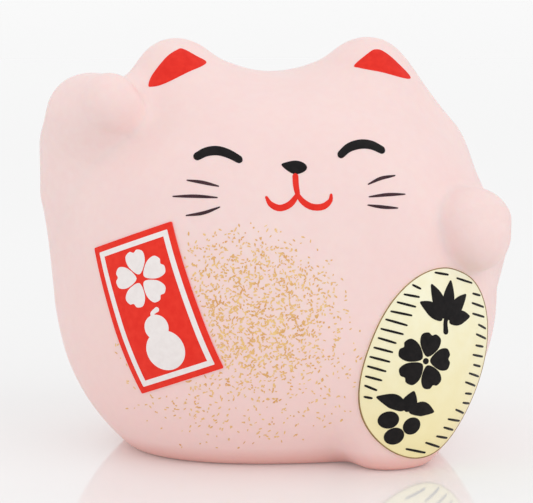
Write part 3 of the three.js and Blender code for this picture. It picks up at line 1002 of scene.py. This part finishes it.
class Surface:
    """A principled material whose colour, gloss and relief come from noise in the object's own space."""

    def __init__(self, name, sockets=None):
        self.material = bpy.data.materials.new(name)
        self.material.use_nodes = True
        self.tree = self.material.node_tree
        self.shader = self.tree.nodes["Principled BSDF"]
        for socket, value in (sockets or {}).items():
            self.shader.inputs[socket].default_value = value
        self.place = self.tree.nodes.new("ShaderNodeTexCoord").outputs["Object"]

    def node(self, kind, **inputs):
        node = self.tree.nodes.new(kind)
        for socket, value in inputs.items():
            self.set(node, socket, value)
        return node

    def set(self, node, socket, value):
        target = node.inputs[socket]
        if isinstance(value, bpy.types.NodeSocket):
            self.tree.links.new(value, target)
        else:
            target.default_value = value

    def noise(self, size, detail=3, stretch=(1, 1, 1)):
        """Noise whose features are about size metres across."""
        scaled = self.node("ShaderNodeMapping", Vector=self.place, Scale=stretch)
        noise = self.node("ShaderNodeTexNoise", Vector=scaled.outputs[0], Scale=1 / size, Detail=detail)
        return noise.outputs["Fac"]

    def ramp(self, source, stops):
        node = self.node("ShaderNodeValToRGB", Fac=source)
        elements = node.color_ramp.elements
        while len(elements) < len(stops):
            elements.new(0.5)
        for element, (place, value) in zip(elements, stops):
            element.position = place
            element.color = value
        return node.outputs["Color"]

    def mix(self, share, first, second):
        node = self.tree.nodes.new("ShaderNodeMix")
        node.data_type = "RGBA"
        for socket, value in ((0, share), (6, first), (7, second)):
            self.set(node, socket, value)
        return node.outputs[2]

    def spread(self, source, low, high, source_low=0.35, source_high=0.65):
        """The source's range, stretched to run from low to high."""
        node = self.node("ShaderNodeMapRange", Value=source)
        for index, value in enumerate((source_low, source_high, low, high)):
            node.inputs[index + 1].default_value = value
        return node.outputs[0]

    def height(self):
        return self.node("ShaderNodeSeparateXYZ", Vector=self.place).outputs["Z"]

    def paint(self, source):
        self.tree.links.new(source, self.shader.inputs["Base Color"])

    def gloss(self, source):
        self.tree.links.new(source, self.shader.inputs["Roughness"])

    def relief(self, source, depth):
        """Adds fine bumps, over those that are already there."""
        bump = self.node("ShaderNodeBump", Height=source, Distance=depth, Strength=1.0)
        shader_normal = self.shader.inputs["Normal"]
        if shader_normal.is_linked:
            self.tree.links.new(shader_normal.links[0].from_socket, bump.inputs["Normal"])
        self.tree.links.new(bump.outputs[0], shader_normal)


def pink_glaze():
    """A satin, airbrushed pink, softly clouded. It turns pinker towards the bottom, partly its own tint and
    partly painted shade and bounce light, and its lowest band is painted contact shade.
    """
    surface = Surface("pink_glaze", {
        "Subsurface Weight": 0.12, "Subsurface Scale": 0.002, "Specular IOR Level": 0.5,
        "Sheen Weight": 0.1, "Sheen Roughness": 0.4,
    })
    cloud = surface.ramp(surface.noise(0.03), [(0.3, colour(248, 218, 215)), (0.7, colour(250, 224, 220))])
    # Pinker over the lowest 6 cm: partly the glaze's own tint, partly painted shade and bounce light low on
    # the body.
    low = surface.spread(surface.height(), 1, 0, 0.0, 0.06)
    body = surface.mix(low, cloud, colour(253, 216, 211))
    mottle = surface.spread(surface.noise(0.0022, detail=4), 0, 0.22)
    glazed = surface.mix(mottle, body, colour(246, 210, 207))
    # Painted contact shade: the lowest 5 mm of the body turn a deeper coral for the shade and pink bounce
    # light where it meets the floor.
    foot = surface.spread(surface.height(), 0.8, 0, 0.0, 0.005)
    surface.paint(surface.mix(foot, glazed, colour(238, 172, 160)))
    surface.gloss(surface.spread(surface.noise(0.006), 0.42, 0.56))
    surface.relief(surface.noise(0.014, detail=2), 0.00035)
    surface.relief(surface.noise(0.0009), 0.00002)
    return surface.material


def bare_clay():
    surface = Surface("bare_clay", {"Specular IOR Level": 0.2})
    stops = [(0.35, colour(222, 208, 196)), (0.65, colour(236, 225, 215))]
    body = surface.ramp(surface.noise(0.004, 5), stops)
    speck = surface.spread(surface.noise(0.0006), 0, 0.8, 0.62, 0.72)
    surface.paint(surface.mix(speck, body, colour(178, 150, 132)))
    surface.gloss(surface.spread(surface.noise(0.003), 0.75, 0.92))
    surface.relief(surface.noise(0.0007, 5), 0.00009)
    return surface.material


def soft_rubber():
    surface = Surface("soft_rubber", {"Subsurface Weight": 0.25, "Subsurface Scale": 0.003})
    stops = [(0.35, colour(214, 211, 203)), (0.65, colour(228, 226, 219))]
    surface.paint(surface.ramp(surface.noise(0.008), stops))
    surface.gloss(surface.spread(surface.noise(0.002), 0.45, 0.62))
    surface.relief(surface.noise(0.0005), 0.000015)
    return surface.material


def enamel(name, dark, light, roughness=0.45):
    """Brushed-on colour, a little uneven in depth and gloss."""
    surface = Surface(name, {"Specular IOR Level": 0.2})
    surface.paint(surface.ramp(surface.noise(0.0016, 4), [(0.32, dark), (0.68, light)]))
    surface.gloss(surface.spread(surface.noise(0.0012), roughness - 0.05, roughness + 0.09))
    surface.relief(surface.noise(0.0011), 0.00002)
    return surface.material


def foil_gold():
    surface = Surface("foil_gold", {"Metallic": 0.22, "Specular IOR Level": 0.6})
    # Painted light: the foil is painted paler towards its top and a deeper yellow below, for the light it
    # reflects from above.
    painted_top_light = surface.ramp(
        surface.spread(surface.height(), 0, 1, 0.002, 0.05),
        [(0, colour(252, 238, 180)), (1, colour(255, 253, 228))],
    )
    cloud = surface.spread(surface.noise(0.004), 0, 0.25)
    surface.paint(surface.mix(cloud, painted_top_light, colour(246, 232, 170)))
    surface.gloss(surface.spread(surface.noise(0.001, stretch=(1, 1, 6)), 0.3, 0.42))
    surface.relief(surface.noise(0.0004), 0.000006)
    return surface.material


def dust_gold():
    surface = Surface("dust_gold", {"Metallic": 0.2, "Roughness": 0.4})
    stops = [(0.3, colour(226, 166, 98)), (0.7, colour(250, 212, 144))]
    surface.paint(surface.ramp(surface.noise(0.002), stops))
    surface.relief(surface.noise(0.0003), 0.00001)
    return surface.material


def floor_white():
    """Glossy white acrylic, lit a little from below."""
    surface = Surface("floor_white", {
        "Specular IOR Level": 0.9, "Roughness": 0.06, "Base Color": colour(236, 236, 236),
        "Emission Color": (1, 1, 1, 1), "Emission Strength": 0.08,
    })
    return surface.material


# ---- studio ----


def make_floor():
    edge = []
    for angle in np.linspace(0, 2 * math.pi, 96, endpoint=False):
        edge.append((FLOOR_RADIUS * math.cos(angle), FLOOR_RADIUS * math.sin(angle), -FLOOR_DROP))
    mesh = bpy.data.meshes.new("floor")
    mesh.from_pydata(edge, [], [list(range(len(edge)))])
    floor = bpy.data.objects.new("floor", mesh)
    bpy.context.scene.collection.objects.link(floor)
    mesh.materials.append(floor_white())


def aim(thing, place, target):
    thing.location = place
    thing.rotation_euler = (Vector(target) - Vector(place)).to_track_quat("-Z", "Y").to_euler()


def make_light(name, place, spread, strength):
    """A sun as broad as a softbox, so that the floor is lit evenly."""
    data = bpy.data.lights.new(name, "SUN")
    data.angle = math.radians(spread)
    data.energy = strength
    light = bpy.data.objects.new(name, data)
    light.visible_glossy = False
    bpy.context.scene.collection.objects.link(light)
    aim(light, place, (0, 0, 0))


def make_studio():
    world = bpy.data.worlds.new("studio")
    world.use_nodes = True
    background = world.node_tree.nodes["Background"]
    background.inputs["Color"].default_value = (1, 1, 1, 1)
    background.inputs["Strength"].default_value = WORLD_STRENGTH
    scene = bpy.context.scene
    scene.world = world
    scene.view_settings.view_transform = "Standard"
    make_floor()
    for name, (place, spread, strength) in LIGHTS.items():
        make_light(name, place, spread, strength)


def make_camera():
    turn, rise = math.radians(CAMERA_AZIMUTH), math.radians(CAMERA_ELEVATION)
    back = np.array([math.sin(turn) * math.cos(rise), -math.cos(turn) * math.cos(rise), math.sin(rise)])
    right = np.array([math.cos(turn), math.sin(turn), 0])
    target = AXIS + right * CAMERA_TARGET[0] + np.cross(back, right) * CAMERA_TARGET[1]
    data = bpy.data.cameras.new("camera")
    data.sensor_width = 36
    data.lens = CAMERA_LENS
    camera = bpy.data.objects.new("camera", data)
    bpy.context.scene.collection.objects.link(camera)
    aim(camera, AXIS + back * CAMERA_DISTANCE, target)
    bpy.context.scene.camera = camera


# ---- the scene ----

make_camera()
make_studio()
make_body(pink_glaze())
make_base(bare_clay(), soft_rubber())

make_face(
    enamel("enamel_black", colour(10, 8, 9), colour(24, 19, 21)),
    enamel("enamel_red", colour(228, 40, 28), colour(238, 50, 36)),
    enamel("enamel_brown", colour(54, 34, 40), colour(76, 50, 56)),
)
make_plaque(
    enamel("sticker_red", colour(236, 46, 32), colour(242, 56, 40)),
    enamel("sticker_white", colour(241, 234, 232), colour(247, 241, 239)),
)
make_koban(
    foil_gold(),
    enamel("foil_edge", colour(140, 110, 70), colour(168, 138, 92)),
    enamel("print_black", colour(14, 11, 12), colour(26, 22, 22), roughness=0.5),
)
make_dust(dust_gold())
